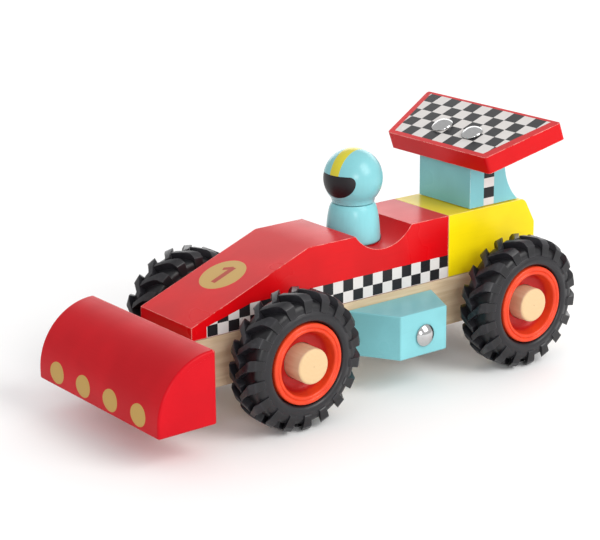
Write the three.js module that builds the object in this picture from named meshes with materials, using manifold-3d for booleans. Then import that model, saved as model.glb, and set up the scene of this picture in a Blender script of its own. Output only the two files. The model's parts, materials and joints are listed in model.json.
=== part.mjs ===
// Pull-back racing car: wooden blocks on a board, rubber tractor tyres, and a spring motor on the rear axle.
// Frame: millimetres, +X to the nose, +Y to the car's left, +Z up, ground at Z = 0 under the car's centre.
import * as THREE from 'three';
import { mergeVertices } from 'three/addons/utils/BufferGeometryUtils.js';
import Module from 'manifold-3d';

const wasm = await Module();
wasm.setup();

// ---------------------------------------------------------------- driving dimensions
const GAP = 0.3;                 // between pieces that touch
const FIT = 0.25;                // radial room round a pin, dowel or rod that is pressed or glued in
const RUN = 0.08;                // radial room round a shaft that turns
const OVER = 1;                  // how far a cutting tool runs past the face it cuts

// Board and body blocks
const WIDTH = 36;
const BOARD = { rear: -109.2, front: 82.2, bottom: 16.8, top: 38.2 };
const DECK_Z = 66;               // top of the body blocks
const BLOCK_BOTTOM = BOARD.top + GAP;
const HOOD = { kinkX: 18, tipX: 76, tipZ: 43.9 };
const SCOOP = { x: -21.9, z: 77.1, radius: 18.9, segments: 16 };
const SPLIT_X = -58.2;           // joint between the red and the yellow block
const SEAT = { x: -20, radius: 11.9, z: 58.2, segments: 32 };
const COVER = { topRearX: -103, slantBottomZ: 54.7, edgeRadius: 2.5, segments: 4 };
const NOSE = {
  back: 82.5, front: 109.5, bottom: 13.5, top: 43.8, curve: 26, halfWidth: 43.7, segments: 12,
};
const POD = {
  innerFront: -1.3, outerFront: -13.6, outerRear: -38.8, innerRear: -48.5,
  outerY: 39, bottom: 15.9, top: 35.1, nailX: -26.6, nailZ: 24.6,
};

// Wing and its strut
const STRUT = { front: -71.6, rear: -92, halfWidth: 16.5, coveRadius: 23.5, coveTopZ: 84, segments: 8 };
const WING = {
  frontX: -65.73, frontZ: 92.68, tilt: THREE.MathUtils.degToRad(20.3), length: 35.6, thickness: 8,
  frontHalf: 31.8, rearHalf: 42.6, cornerRadius: 1.5, cornerSegments: 3, nailAlong: 13.7, nailY: 9.6,
};

// Fasteners
const NAIL = {
  headRadius: 4.85, domeHeight: 2.2, domeSteps: 2, rim: 0.5, shankRadius: 1.2, length: 22, pointLength: 3,
  segments: 14, holeSegments: 8,
};
const DOWEL = { radius: 3, length: 17.4, hole: 18 };
const DOWEL_SPOTS = {
  frontBody: [[-30, 0], [60, 0]],
  cover: [[-99, 9], [-99, -9]],
  strut: [[-80, 9], [-80, -9]],
};
const NOSE_DOWEL = { y: 12, z: 26 };

// Driver: the body's side is radius and height pairs from the base to the neck
const DRIVER = {
  baseZ: 58.5, baseRadius: 11.6, baseEdge: 1,
  side: [[11.35, 63.5], [11.05, 67], [10.4, 71], [9.4, 74.4]],
  creaseZ: 75.2, creaseRadius: 9, creaseDepth: 0.5, neckTopZ: 78.4,
  ballZ: 85.6, ballRadius: 12.57, ballSteps: 8, pinBottom: 50, pinTop: 80, segments: 24,
};

// Wheels and axles
const FRONT_AXLE_X = 39.8;
const REAR_AXLE_X = -80.8;
const WHEEL_Y = { front: 37.3, rear: 38.2 };    // middle of a tyre from the car's middle
const AXLE_R = 1.5;
const AXLE_LENGTH = 84;
const AXLE_SEGMENTS = 16;
const REAR_AXLE_ROOM = 0.8;      // radial room round the rear axle in the board, since the motor carries it
const BUSH = { radius: 3.2, flangeRadius: 5.5, flange: 0.5, length: 9 };
const TYRE_R = 28.6;             // over the lugs, and the height of both axles
const TYRE = { bore: 17, carcass: 25.4, shoulderY: 6.4, halfWidth: 8.7 };
const LUGS_PER_SIDE = 18;
const LUG_TURN = {               // how far the tyres are turned at rest
  front: THREE.MathUtils.degToRad(1),
  rear: THREE.MathUtils.degToRad(-2),
};
// Sections of a lug: its inner end by the middle of the tread, the tread's edge, its foot on the sidewall.
// y is across the tyre, along is the offset round it, and half is half the lug's width.
const LUG = [
  { y: -0.6, along: -6.4, half: 1.7, top: TYRE_R, root: 23.6 },
  { y: 5.4, along: -1.4, half: 2.35, top: 28.3, root: 23 },
  { y: 8.4, along: 0, half: 2.75, top: 26.3, root: 20.6 },
];
const RIM = {
  back: -8, lip: 8.4, lipRadius: 13.4, dishRadius: 12, dishFloor: 2.5,
  barrelRadius: 15.2, sleeveRadius: 9.4, sleeveBack: -7, webBack: 0.5,
};
const HUB = { radius: 7.35, inner: 19, outer: { front: 49.2, rear: 48 }, edge: 1, bore: 24 };
const WHEEL_SEGMENTS = 20;

// Motor
const MOTOR = { rear: -86.6, front: -43.4, half: 10.5, bottom: 17.1, top: 34.9, wall: 1.4, shaftZ: 26 };
const POCKET = { clearance: 0.5, top: 35.4 };
const EAR = { length: 7, width: 8, thickness: 1.6, y: 4.3, overlap: 1 };
const EAR_SCREW = {
  radius: 1.3, headRadius: 2.6, headHeight: 1.3, headTaper: 0.8, length: 9, pointLength: 2,
};
const PIN_R = 1;                 // fixed pins that the gears turn on
const ARBOR_R = 1.3;             // fixed pin that the spring drum turns on
const PIN_ROOM = 0.15;           // radial room round those pins in the case
const SPRING = {
  room: 5.6, innerR: 1.75, outerR: 5.3, turns: 4, thickness: 0.3, stepsPerTurn: 12, lift: 0.8,
};

// Gears
const MODULE = 0.5;
const TEETH = { axle: 14, wheel: 24, pinion: 12, drum: 28 };
const PRESSURE_ANGLE = THREE.MathUtils.degToRad(20);
const ADDENDUM = 0.9;            // in modules
const DEDENDUM = 1.25;           // in modules
const BACKLASH = 0.16;           // taken off each tooth's thickness at the pitch circle
const CENTRE_ROOM = 0.08;        // added to each centre distance
// Layers along Y, so that each wheel clears its neighbours' shafts.
const LAYER = {
  axleGear: [5.1, 8.7], wheelA: [5.3, 8.5], pinionA: [0.6, 5.8],
  wheelB: [0.8, 4.6], pinionB: [-8.5, 1.3], drum: [-8.7, -0.4], springRoom: [-9, -2.2],
};

// ---------------------------------------------------------------- finishes
const FINISHES = {
  wood: { color: 0xe8cfa8, roughness: 0.6, metalness: 0 },
  red: { color: 0xd2222a, roughness: 0.3, metalness: 0 },
  yellow: { color: 0xf3d51c, roughness: 0.3, metalness: 0 },
  blue: { color: 0x8ed3dc, roughness: 0.35, metalness: 0 },
  rubber: { color: 0x2f2e33, roughness: 0.7, metalness: 0 },
  rim: { color: 0xf4502f, roughness: 0.4, metalness: 0 },
  steel: { color: 0xc8c8c8, roughness: 0.25, metalness: 1 },
  nylon: { color: 0xf0efe8, roughness: 0.5, metalness: 0 },
  casing: { color: 0x33363a, roughness: 0.55, metalness: 0 },
};

// ---------------------------------------------------------------- shape helpers
const MERGE_DISTANCE = 1e-4;
const ROUND_SEGMENTS = 12;

/** A closed geometry as a solid that can be cut and joined. */
function toSolid(geometry) {
  const plain = new THREE.BufferGeometry();
  plain.setAttribute('position', geometry.getAttribute('position').clone());
  if (geometry.index) plain.setIndex(geometry.index.clone());
  const merged = mergeVertices(plain, MERGE_DISTANCE);
  const corners = merged.index.array;
  const kept = [];
  for (let i = 0; i < corners.length; i += 3) {
    const [a, b, c] = [corners[i], corners[i + 1], corners[i + 2]];
    if (a !== b && b !== c && c !== a) kept.push(a, b, c);
  }
  return new wasm.Manifold(new wasm.Mesh({
    numProp: 3,
    vertProperties: Float32Array.from(merged.getAttribute('position').array),
    triVerts: Uint32Array.from(kept),
  }));
}

function toGeometry(solid) {
  const mesh = solid.getMesh();
  const geometry = new THREE.BufferGeometry();
  geometry.setAttribute('position', new THREE.BufferAttribute(mesh.vertProperties, 3));
  geometry.setIndex(new THREE.BufferAttribute(mesh.triVerts, 1));
  return geometry;
}

function cut(geometry, ...tools) {
  return toGeometry(tools.reduce((solid, tool) => solid.subtract(toSolid(tool)), toSolid(geometry)));
}

function join(geometry, ...others) {
  return toGeometry(others.reduce((solid, other) => solid.add(toSolid(other)), toSolid(geometry)));
}

/** A box given by its lowest and highest corners. */
function box(low, high) {
  const size = high.map((value, axis) => value - low[axis]);
  const middle = high.map((value, axis) => (value + low[axis]) / 2);
  return new THREE.BoxGeometry(...size).translate(...middle);
}

/** A round bar along X, Y or Z from one end to the other; across are its other two coordinates. */
function bar(axis, radius, from, to, across, segments = ROUND_SEGMENTS) {
  const geometry = new THREE.CylinderGeometry(radius, radius, to - from, segments);
  const middle = (from + to) / 2;
  const [first, second] = across;
  if (axis === 'x') return geometry.rotateZ(-Math.PI / 2).translate(middle, first, second);
  if (axis === 'y') return geometry.translate(first, middle, second);
  return geometry.rotateX(Math.PI / 2).translate(first, second, middle);
}

/** A radius whose polygon's flats still clear a round piece. */
function holeRadius(radius, room, segments = ROUND_SEGMENTS) {
  return (radius + room) / Math.cos(Math.PI / segments);
}

function hole(axis, radius, from, to, across, room = FIT, segments = ROUND_SEGMENTS) {
  return bar(axis, holeRadius(radius, room, segments), from, to, across, segments);
}

/** An outline drawn in X and Z, given thickness along Y. */
function sideways(shape, fromY, toY, curveSegments = 6) {
  const settings = { depth: toY - fromY, bevelEnabled: false, curveSegments };
  const geometry = new THREE.ExtrudeGeometry(shape, settings);
  return geometry.rotateX(Math.PI / 2).translate(0, toY, 0);
}

function polygon(points) {
  return new THREE.Shape(points.map(([x, y]) => new THREE.Vector2(x, y)));
}

/** A turned piece: radius and height pairs, revolved about Y. */
function turned(profile, segments) {
  return new THREE.LatheGeometry(profile.map(([r, y]) => new THREE.Vector2(r, y)), segments);
}

/** A ring turned about Y, whose profile closes on itself. */
function turnedRing(profile, segments) {
  return turned([...profile, profile[0]], segments);
}

function upright(geometry) {
  return geometry.rotateX(Math.PI / 2);
}

// ---------------------------------------------------------------- assembly
const group = new THREE.Group();
group.name = 'pull_back_car';

function add(name, geometry, finish, parent = group) {
  const mesh = new THREE.Mesh(geometry, new THREE.MeshStandardMaterial(FINISHES[finish]));
  mesh.name = name;
  parent.add(mesh);
  return mesh;
}

// ---------------------------------------------------------------- gear train layout
function centreDistance(teethA, teethB) {
  return MODULE * (teethA + teethB) / 2 + CENTRE_ROOM;
}

const rearAxle = { x: REAR_AXLE_X, z: TYRE_R };
const axleDrop = TYRE_R - MOTOR.shaftZ;
const firstDistance = centreDistance(TEETH.axle, TEETH.wheel);
const shaftA = { x: REAR_AXLE_X + Math.sqrt(firstDistance ** 2 - axleDrop ** 2), z: MOTOR.shaftZ };
const shaftB = { x: shaftA.x + centreDistance(TEETH.pinion, TEETH.wheel), z: MOTOR.shaftZ };
const arbor = { x: shaftB.x + centreDistance(TEETH.pinion, TEETH.drum), z: MOTOR.shaftZ };

// ---------------------------------------------------------------- board and blocks
function uprightDowelHoles(spots, jointZ) {
  const [from, to] = [jointZ - DOWEL.hole / 2, jointZ + DOWEL.hole / 2];
  return spots.map((at) => hole('z', DOWEL.radius, from, to, at));
}

const noseDowelHoles = [NOSE_DOWEL.y, -NOSE_DOWEL.y].map((y) => hole(
  'x', DOWEL.radius, NOSE.back - DOWEL.hole / 2, NOSE.back + DOWEL.hole / 2, [y, NOSE_DOWEL.z],
));

function podNailHole(side) {
  const inner = POD.outerY - NAIL.length - OVER;
  const [from, to] = side > 0 ? [inner, POD.outerY + OVER] : [-POD.outerY - OVER, -inner];
  return hole('y', NAIL.shankRadius, from, to, [POD.nailX, POD.nailZ], FIT, NAIL.holeSegments);
}

const ears = [
  { name: 'front', x: MOTOR.front + EAR.length / 2, y: EAR.y },
  { name: 'rear', x: MOTOR.rear - EAR.length / 2, y: -EAR.y },
];

function chassis() {
  const half = WIDTH / 2;
  const room = POCKET.clearance;
  const below = BOARD.bottom - OVER;
  const screwHoleTop = MOTOR.bottom + EAR_SCREW.length + OVER;
  const tools = [
    box([MOTOR.rear - room, -MOTOR.half - room, below], [MOTOR.front + room, MOTOR.half + room, POCKET.top]),
    ...ears.map((ear) => box(
      [ear.x - EAR.length / 2 - room, ear.y - EAR.width / 2 - room, below],
      [ear.x + EAR.length / 2 + room, ear.y + EAR.width / 2 + room, MOTOR.bottom + EAR.thickness + GAP],
    )),
    ...ears.map((ear) => hole('z', EAR_SCREW.radius, below, screwHoleTop, [ear.x, ear.y])),
    hole('y', AXLE_R, -half - OVER, half + OVER, [REAR_AXLE_X, TYRE_R], REAR_AXLE_ROOM),
    hole('y', BUSH.radius, -half - OVER, half + OVER, [FRONT_AXLE_X, TYRE_R]),
    ...uprightDowelHoles(DOWEL_SPOTS.frontBody, BOARD.top),
    ...uprightDowelHoles(DOWEL_SPOTS.cover, BOARD.top),
    ...noseDowelHoles,
    podNailHole(1),
    podNailHole(-1),
  ];
  return cut(box([BOARD.rear, -half, BOARD.bottom], [BOARD.front, half, BOARD.top]), ...tools);
}

function frontBody() {
  const { kinkX, tipX, tipZ } = HOOD;
  const chord = Math.sqrt(SCOOP.radius ** 2 - (SCOOP.z - DECK_Z) ** 2);
  const angle = Math.asin((SCOOP.z - DECK_Z) / SCOOP.radius);
  const shape = new THREE.Shape();
  shape.moveTo(SPLIT_X + GAP / 2, BLOCK_BOTTOM);
  shape.lineTo(tipX, BLOCK_BOTTOM);
  shape.lineTo(tipX, tipZ);
  shape.lineTo(kinkX, DECK_Z);
  shape.lineTo(SCOOP.x + chord, DECK_Z);
  shape.absarc(SCOOP.x, SCOOP.z, SCOOP.radius, -angle, -Math.PI + angle, true);
  shape.lineTo(SPLIT_X + GAP / 2, DECK_Z);
  return cut(
    sideways(shape, -WIDTH / 2, WIDTH / 2, SCOOP.segments),
    bar('z', SEAT.radius, SEAT.z, DECK_Z + OVER, [SEAT.x, 0], SEAT.segments),
    hole('z', DOWEL.radius, DRIVER.pinBottom - GAP, DECK_Z, [SEAT.x, 0]),
    ...uprightDowelHoles(DOWEL_SPOTS.frontBody, BOARD.top),
  );
}

function engineCover() {
  const front = SPLIT_X - GAP / 2;
  const top = new THREE.Vector2(COVER.topRearX, DECK_Z);
  const bottom = new THREE.Vector2(BOARD.rear, COVER.slantBottomZ);
  const slant = bottom.clone().sub(top).setLength(COVER.edgeRadius);
  const shape = new THREE.Shape();
  shape.moveTo(front, BLOCK_BOTTOM);
  shape.lineTo(front, DECK_Z);
  shape.lineTo(top.x + COVER.edgeRadius, top.y);
  shape.quadraticCurveTo(top.x, top.y, top.x + slant.x, top.y + slant.y);
  shape.lineTo(bottom.x, bottom.y);
  shape.lineTo(BOARD.rear, BLOCK_BOTTOM);
  return cut(
    sideways(shape, -WIDTH / 2, WIDTH / 2, COVER.segments),
    ...uprightDowelHoles(DOWEL_SPOTS.cover, BOARD.top),
    ...uprightDowelHoles(DOWEL_SPOTS.strut, DECK_Z),
  );
}

// ---------------------------------------------------------------- wing and strut
// The wing's own frame: origin on the middle of its top front edge, X rearwards along the plate, Z out of it.
function ontoWing(geometry) {
  return geometry.rotateZ(Math.PI).rotateY(WING.tilt).translate(WING.frontX, 0, WING.frontZ);
}

const wingNailHoles = [WING.nailY, -WING.nailY].map((y) => ontoWing(
  hole('z', NAIL.shankRadius, -NAIL.length - OVER, OVER, [WING.nailAlong, y], FIT, NAIL.holeSegments),
));

/** A plate outline with rounded corners. */
function roundedPolygon(points, radius) {
  const corners = points.map(([x, y]) => new THREE.Vector2(x, y));
  const shape = new THREE.Shape();
  corners.forEach((corner, i) => {
    const before = corners[(i + corners.length - 1) % corners.length];
    const after = corners[(i + 1) % corners.length];
    const start = before.clone().sub(corner).setLength(radius).add(corner);
    const end = after.clone().sub(corner).setLength(radius).add(corner);
    if (i === 0) shape.moveTo(start.x, start.y);
    else shape.lineTo(start.x, start.y);
    shape.quadraticCurveTo(corner.x, corner.y, end.x, end.y);
  });
  return shape;
}

function rearWing() {
  const { length, thickness, frontHalf, rearHalf, cornerRadius, cornerSegments } = WING;
  const outline = roundedPolygon(
    [[0, -frontHalf], [length, -rearHalf], [length, rearHalf], [0, frontHalf]], cornerRadius,
  );
  const plate = new THREE.ExtrudeGeometry(outline, {
    depth: thickness, bevelEnabled: false, curveSegments: cornerSegments,
  });
  return cut(ontoWing(plate.translate(0, 0, -thickness)), ...wingNailHoles);
}

function wingStrut() {
  const bottom = DECK_Z + GAP;
  const aboveWing = WING.frontZ + WING.length;
  const lowest = Math.asin((STRUT.coveTopZ - bottom) / STRUT.coveRadius);
  const shape = new THREE.Shape();
  shape.moveTo(STRUT.front, bottom);
  shape.lineTo(STRUT.front, aboveWing);
  shape.lineTo(STRUT.rear, aboveWing);
  shape.absarc(STRUT.rear - STRUT.coveRadius, STRUT.coveTopZ, STRUT.coveRadius, 0, -lowest, true);
  const roomForWing = ontoWing(box(
    [-WING.length, -WIDTH, -WING.thickness - GAP], [3 * WING.length, WIDTH, 2 * WING.length],
  ));
  return cut(
    sideways(shape, -STRUT.halfWidth, STRUT.halfWidth, STRUT.segments),
    roomForWing,
    ...wingNailHoles,
    ...uprightDowelHoles(DOWEL_SPOTS.strut, DECK_Z),
  );
}

// ---------------------------------------------------------------- nose block, side pods and nails
function noseBlock() {
  const { back, front, bottom, top, curve, halfWidth, segments } = NOSE;
  const shape = new THREE.Shape();
  shape.moveTo(back, bottom);
  shape.lineTo(front, bottom);
  shape.lineTo(front, top - curve);
  shape.absarc(front - curve, top - curve, curve, 0, Math.PI / 2, false);
  shape.lineTo(back, top);
  return cut(sideways(shape, -halfWidth, halfWidth, segments), ...noseDowelHoles);
}

function sidePod(side) {
  const innerY = WIDTH / 2 + GAP;
  const outline = polygon([
    [POD.innerRear, side * innerY], [POD.innerFront, side * innerY],
    [POD.outerFront, side * POD.outerY], [POD.outerRear, side * POD.outerY],
  ]);
  const block = new THREE.ExtrudeGeometry(outline, { depth: POD.top - POD.bottom, bevelEnabled: false });
  return cut(block.translate(0, 0, POD.bottom), podNailHole(side));
}

/** A domed nail along Z: its head's underside is half a gap above Z = 0 and its point is below. */
function nail() {
  const { headRadius, domeHeight, domeSteps, rim, shankRadius, length, pointLength } = NAIL;
  const domeRadius = (headRadius ** 2 + domeHeight ** 2) / (2 * domeHeight);
  const dome = [];
  for (let i = 0; i < domeSteps; i += 1) {
    const r = headRadius * Math.cos((i / domeSteps) * Math.PI / 2);
    dome.push([r, rim + Math.sqrt(domeRadius ** 2 - r ** 2) - (domeRadius - domeHeight)]);
  }
  const profile = [
    [0, -length], [shankRadius, -length + pointLength], [shankRadius, 0], [headRadius, 0],
    ...dome, [0, rim + domeHeight],
  ];
  return upright(turned(profile, NAIL.segments)).translate(0, 0, GAP / 2);
}

// ---------------------------------------------------------------- driver
function driverBody() {
  const { baseZ, baseRadius, baseEdge, side, creaseZ, creaseRadius, creaseDepth, segments } = DRIVER;
  const neckZ = creaseZ - GAP / 2;
  const profile = [
    [0, baseZ], [baseRadius - baseEdge, baseZ], [baseRadius, baseZ + baseEdge], ...side,
    [creaseRadius - creaseDepth, neckZ], [0, neckZ],
  ];
  return cut(
    upright(turned(profile, segments)).translate(SEAT.x, 0, 0),
    hole('z', DOWEL.radius, baseZ - OVER, creaseZ + OVER, [SEAT.x, 0]),
  );
}

function driverHead() {
  const { creaseZ, creaseRadius, ballZ, ballRadius, ballSteps, neckTopZ, pinTop, segments } = DRIVER;
  const profile = [[0, creaseZ + GAP / 2], [creaseRadius, creaseZ + GAP / 2]];
  const start = Math.asin((neckTopZ - ballZ) / ballRadius);
  for (let i = 0; i < ballSteps; i += 1) {
    const angle = start + (i / ballSteps) * (Math.PI / 2 - start);
    profile.push([ballRadius * Math.cos(angle), ballZ + ballRadius * Math.sin(angle)]);
  }
  profile.push([0, ballZ + ballRadius]);
  return cut(
    upright(turned(profile, segments)).translate(SEAT.x, 0, 0),
    hole('z', DOWEL.radius, creaseZ - OVER, pinTop + GAP, [SEAT.x, 0]),
  );
}

// ---------------------------------------------------------------- wheels
/** One lug: a box whose sections are bent round the tyre's axis. side is +1 for the +Y half of the tread. */
function lug(side, turn) {
  const geometry = new THREE.BoxGeometry(1, 1, 1, 1, LUG.length - 1, 1);
  const position = geometry.getAttribute('position');
  for (let i = 0; i < position.count; i += 1) {
    const share = position.getY(i) * side + 0.5;
    const section = LUG[Math.round(share * (LUG.length - 1))];
    const along = section.along - 2 * section.half * position.getX(i);
    const radius = position.getZ(i) > 0 ? section.top : section.root;
    const angle = along / TYRE_R + turn;
    position.setXYZ(i, radius * Math.cos(angle), section.y * side, radius * Math.sin(angle));
  }
  return geometry;
}

/** A tyre about Y. The lugs of its two halves are half a pitch apart. */
function tyre(turn) {
  const { bore, carcass, shoulderY, halfWidth } = TYRE;
  const half = [[carcass, shoulderY], [bore, halfWidth]];
  const otherHalf = half.map(([r, y]) => [r, -y]).reverse();
  const pitch = (2 * Math.PI) / LUGS_PER_SIDE;
  const lugs = [];
  for (let i = 0; i < LUGS_PER_SIDE; i += 1) {
    lugs.push(lug(1, -Math.PI / 2 + turn + i * pitch));
    lugs.push(lug(-1, -Math.PI / 2 + turn + (i + 0.5) * pitch));
  }
  return join(turnedRing([...otherHalf, ...half], LUGS_PER_SIDE), ...lugs);
}

/** A rim with its dish open to +Y: a sleeve on the hub dowel, a web, and a barrel inside the tyre. */
function rim() {
  const { back, lip, lipRadius, dishRadius, dishFloor } = RIM;
  const { barrelRadius, sleeveRadius, sleeveBack, webBack } = RIM;
  const outer = TYRE.bore - GAP;
  const boreRadius = HUB.radius + FIT;
  return turnedRing([
    [boreRadius, sleeveBack], [sleeveRadius, sleeveBack], [sleeveRadius, webBack], [barrelRadius, webBack],
    [barrelRadius, back], [outer, back], [outer, lip], [lipRadius, lip], [dishRadius, dishFloor],
    [boreRadius, dishFloor],
  ], WHEEL_SEGMENTS);
}

/** A hub dowel with its free end to +Y and its blind bore open to -Y. */
function hubDowel(end) {
  const { radius, inner, edge, bore } = HUB;
  const outer = HUB.outer[end];
  const boreRadius = AXLE_R + FIT;
  return turned([
    [0, inner + bore], [boreRadius, inner + bore], [boreRadius, inner], [radius, inner],
    [radius, outer - edge], [radius - edge, outer], [0, outer],
  ].map(([r, y]) => [r, y - WHEEL_Y[end]]), WHEEL_SEGMENTS);
}

/** An axle with a wheel at each end, in a group whose origin is on the axle's middle. */
function axleWithWheels(end, x) {
  const axle = new THREE.Group();
  axle.position.set(x, 0, TYRE_R);
  group.add(axle);
  const rod = bar('y', AXLE_R, -AXLE_LENGTH / 2, AXLE_LENGTH / 2, [0, 0], AXLE_SEGMENTS);
  add(`${end}_axle`, rod, 'steel', axle);
  for (const [side, sign] of [['left', 1], ['right', -1]]) {
    const wheel = new THREE.Group();
    wheel.position.y = sign * WHEEL_Y[end];
    axle.add(wheel);
    add(`${end}_tyre_${side}`, tyre(LUG_TURN[end]), 'rubber', wheel);
    const outward = sign > 0 ? 0 : Math.PI;
    add(`${end}_rim_${side}`, rim(), 'rim', wheel).rotation.z = outward;
    add(`${end}_hub_dowel_${side}`, hubDowel(end), 'wood', wheel).rotation.z = outward;
  }
  return axle;
}

function frontAxleBush(sign) {
  const face = WIDTH / 2 + GAP / 2;
  const boreRadius = holeRadius(AXLE_R, RUN, AXLE_SEGMENTS);
  const geometry = turnedRing([
    [boreRadius, face - BUSH.length], [BUSH.radius, face - BUSH.length], [BUSH.radius, face],
    [BUSH.flangeRadius, face], [BUSH.flangeRadius, face + BUSH.flange], [boreRadius, face + BUSH.flange],
  ], AXLE_SEGMENTS);
  return geometry.rotateZ(sign > 0 ? 0 : Math.PI).translate(FRONT_AXLE_X, 0, TYRE_R);
}

// ---------------------------------------------------------------- motor
const involute = (angle) => Math.tan(angle) - angle;

/** A spur gear about Y, one tooth's middle at the given angle from +X towards +Z. */
function gear(teeth, toothAngle, [fromY, toY], boreRadius) {
  const pitchR = MODULE * teeth / 2;
  const baseR = pitchR * Math.cos(PRESSURE_ANGLE);
  const tipR = pitchR + ADDENDUM * MODULE;
  const rootR = pitchR - DEDENDUM * MODULE;
  const halfAtPitch = (Math.PI * MODULE / 2 - BACKLASH) / (2 * pitchR);
  const halfAngle = (r) => {
    const pressure = Math.acos(Math.min(1, baseR / Math.max(r, baseR)));
    return halfAtPitch + involute(PRESSURE_ANGLE) - involute(pressure);
  };
  const corners = [];
  for (let i = 0; i < teeth; i += 1) {
    const middle = toothAngle + (i / teeth) * 2 * Math.PI;
    for (const [r, side] of [[rootR, -1], [tipR, -1], [tipR, 1], [rootR, 1]]) {
      const angle = middle + side * halfAngle(r);
      corners.push([r * Math.cos(angle), r * Math.sin(angle)]);
    }
  }
  const shape = polygon(corners);
  const bore = new THREE.Path();
  bore.absarc(0, 0, boreRadius, 0, 2 * Math.PI, true);
  shape.holes.push(bore);
  return sideways(shape, fromY, toY, 8);
}

/** Two gears side by side on one hub, as one moulding. */
function doubleGear(at, wheelAngle, wheelLayer, pinionAngle, pinionLayer) {
  const pinBore = holeRadius(PIN_R, RUN);
  const moulded = join(
    gear(TEETH.wheel, wheelAngle, wheelLayer, pinBore),
    gear(TEETH.pinion, pinionAngle, pinionLayer, pinBore),
  );
  return moulded.translate(at.x, 0, at.z);
}

/** A toothed drum, hollow on its -Y side for the spring. */
function springDrum() {
  const [low, high] = LAYER.springRoom;
  const toothAngle = Math.PI + Math.PI / TEETH.drum;
  const toothed = gear(TEETH.drum, toothAngle, LAYER.drum, holeRadius(ARBOR_R, RUN));
  return cut(toothed, bar('y', SPRING.room, low, high, [0, 0], TEETH.drum)).translate(arbor.x, 0, arbor.z);
}

/** A flat spiral strip standing in the drum. */
function mainspring() {
  const steps = SPRING.turns * SPRING.stepsPerTurn;
  const spiral = (offset, i) => {
    const angle = (i / SPRING.stepsPerTurn) * 2 * Math.PI;
    const r = SPRING.innerR + (SPRING.outerR - SPRING.innerR) * (i / steps) + offset;
    return [r * Math.cos(angle), r * Math.sin(angle)];
  };
  const outline = [];
  for (let i = 0; i <= steps; i += 1) outline.push(spiral(-SPRING.thickness / 2, i));
  for (let i = steps; i >= 0; i -= 1) outline.push(spiral(SPRING.thickness / 2, i));
  const [low, high] = LAYER.springRoom;
  return sideways(polygon(outline), low + SPRING.lift, high - GAP).translate(arbor.x, 0, arbor.z);
}

/** Half of the motor's case, with its ear: side is +1 for the left half. It opens to the car's middle. */
function motorCase(side) {
  const { rear, front, half, bottom, top, wall } = MOTOR;
  const span = (near, far) => (side > 0 ? [near, far] : [-far, -near]);
  const [outLow, outHigh] = span(GAP / 2, half);
  const [inLow, inHigh] = span(-OVER, half - wall);
  const shell = cut(
    box([rear, outLow, bottom], [front, outHigh, top]),
    box([rear + wall, inLow, bottom + wall], [front - wall, inHigh, top - wall]),
  );
  const ear = ears[side > 0 ? 0 : 1];
  const [intoFront, intoRear] = ear.x > front ? [EAR.overlap, 0] : [0, EAR.overlap];
  const tab = box(
    [ear.x - EAR.length / 2 - intoFront, ear.y - EAR.width / 2, bottom],
    [ear.x + EAR.length / 2 + intoRear, ear.y + EAR.width / 2, bottom + EAR.thickness],
  );
  const through = (radius, at, room, segments) => hole(
    'y', radius, -half - OVER, half + OVER, [at.x, at.z], room, segments,
  );
  return cut(
    join(shell, tab),
    hole('z', EAR_SCREW.radius, bottom - OVER, bottom + EAR.thickness + OVER, [ear.x, ear.y]),
    through(AXLE_R, rearAxle, RUN, AXLE_SEGMENTS),
    through(PIN_R, shaftA, PIN_ROOM),
    through(PIN_R, shaftB, PIN_ROOM),
    through(ARBOR_R, arbor, PIN_ROOM),
  );
}

function earScrew(ear) {
  const { radius, headRadius, headHeight, headTaper, length, pointLength } = EAR_SCREW;
  const headTop = MOTOR.bottom - GAP / 2;
  const profile = [
    [0, headTop - headHeight], [headRadius * headTaper, headTop - headHeight],
    [headRadius, headTop - headHeight / 2], [headRadius, headTop], [radius, headTop],
    [radius, headTop + length - pointLength], [0, headTop + length],
  ];
  return upright(turned(profile, ROUND_SEGMENTS)).translate(ear.x, ear.y, 0);
}

// ---------------------------------------------------------------- the whole car
add('chassis', chassis(), 'wood');
add('front_body', frontBody(), 'red');
add('engine_cover', engineCover(), 'yellow');
add('wing_strut', wingStrut(), 'blue');
add('rear_wing', rearWing(), 'red');
add('nose_block', noseBlock(), 'red');
for (const [side, sign] of [['left', 1], ['right', -1]]) {
  add(`side_pod_${side}`, sidePod(sign), 'blue');
  const podNail = add(`pod_nail_${side}`, nail(), 'steel');
  podNail.rotation.x = -sign * Math.PI / 2;
  podNail.position.set(POD.nailX, sign * POD.outerY, POD.nailZ);
  add(`wing_nail_${side}`, ontoWing(nail().translate(WING.nailAlong, -sign * WING.nailY, 0)), 'steel');
  add(`front_axle_bush_${side}`, frontAxleBush(sign), 'nylon');
}

function uprightDowel(name, [x, y], jointZ) {
  add(name, bar('z', DOWEL.radius, jointZ - DOWEL.length / 2, jointZ + DOWEL.length / 2, [x, y]), 'wood');
}
uprightDowel('front_body_dowel_rear', DOWEL_SPOTS.frontBody[0], BOARD.top);
uprightDowel('front_body_dowel_front', DOWEL_SPOTS.frontBody[1], BOARD.top);
uprightDowel('cover_dowel_left', DOWEL_SPOTS.cover[0], BOARD.top);
uprightDowel('cover_dowel_right', DOWEL_SPOTS.cover[1], BOARD.top);
uprightDowel('strut_dowel_left', DOWEL_SPOTS.strut[0], DECK_Z);
uprightDowel('strut_dowel_right', DOWEL_SPOTS.strut[1], DECK_Z);
for (const [side, y] of [['left', NOSE_DOWEL.y], ['right', -NOSE_DOWEL.y]]) {
  const [from, to] = [NOSE.back - DOWEL.length / 2, NOSE.back + DOWEL.length / 2];
  add(`nose_dowel_${side}`, bar('x', DOWEL.radius, from, to, [y, NOSE_DOWEL.z]), 'wood');
}

add('driver_body', driverBody(), 'blue');
add('driver_head', driverHead(), 'blue');
add('driver_pin', bar('z', DOWEL.radius, DRIVER.pinBottom, DRIVER.pinTop, [SEAT.x, 0]), 'wood');

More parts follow.
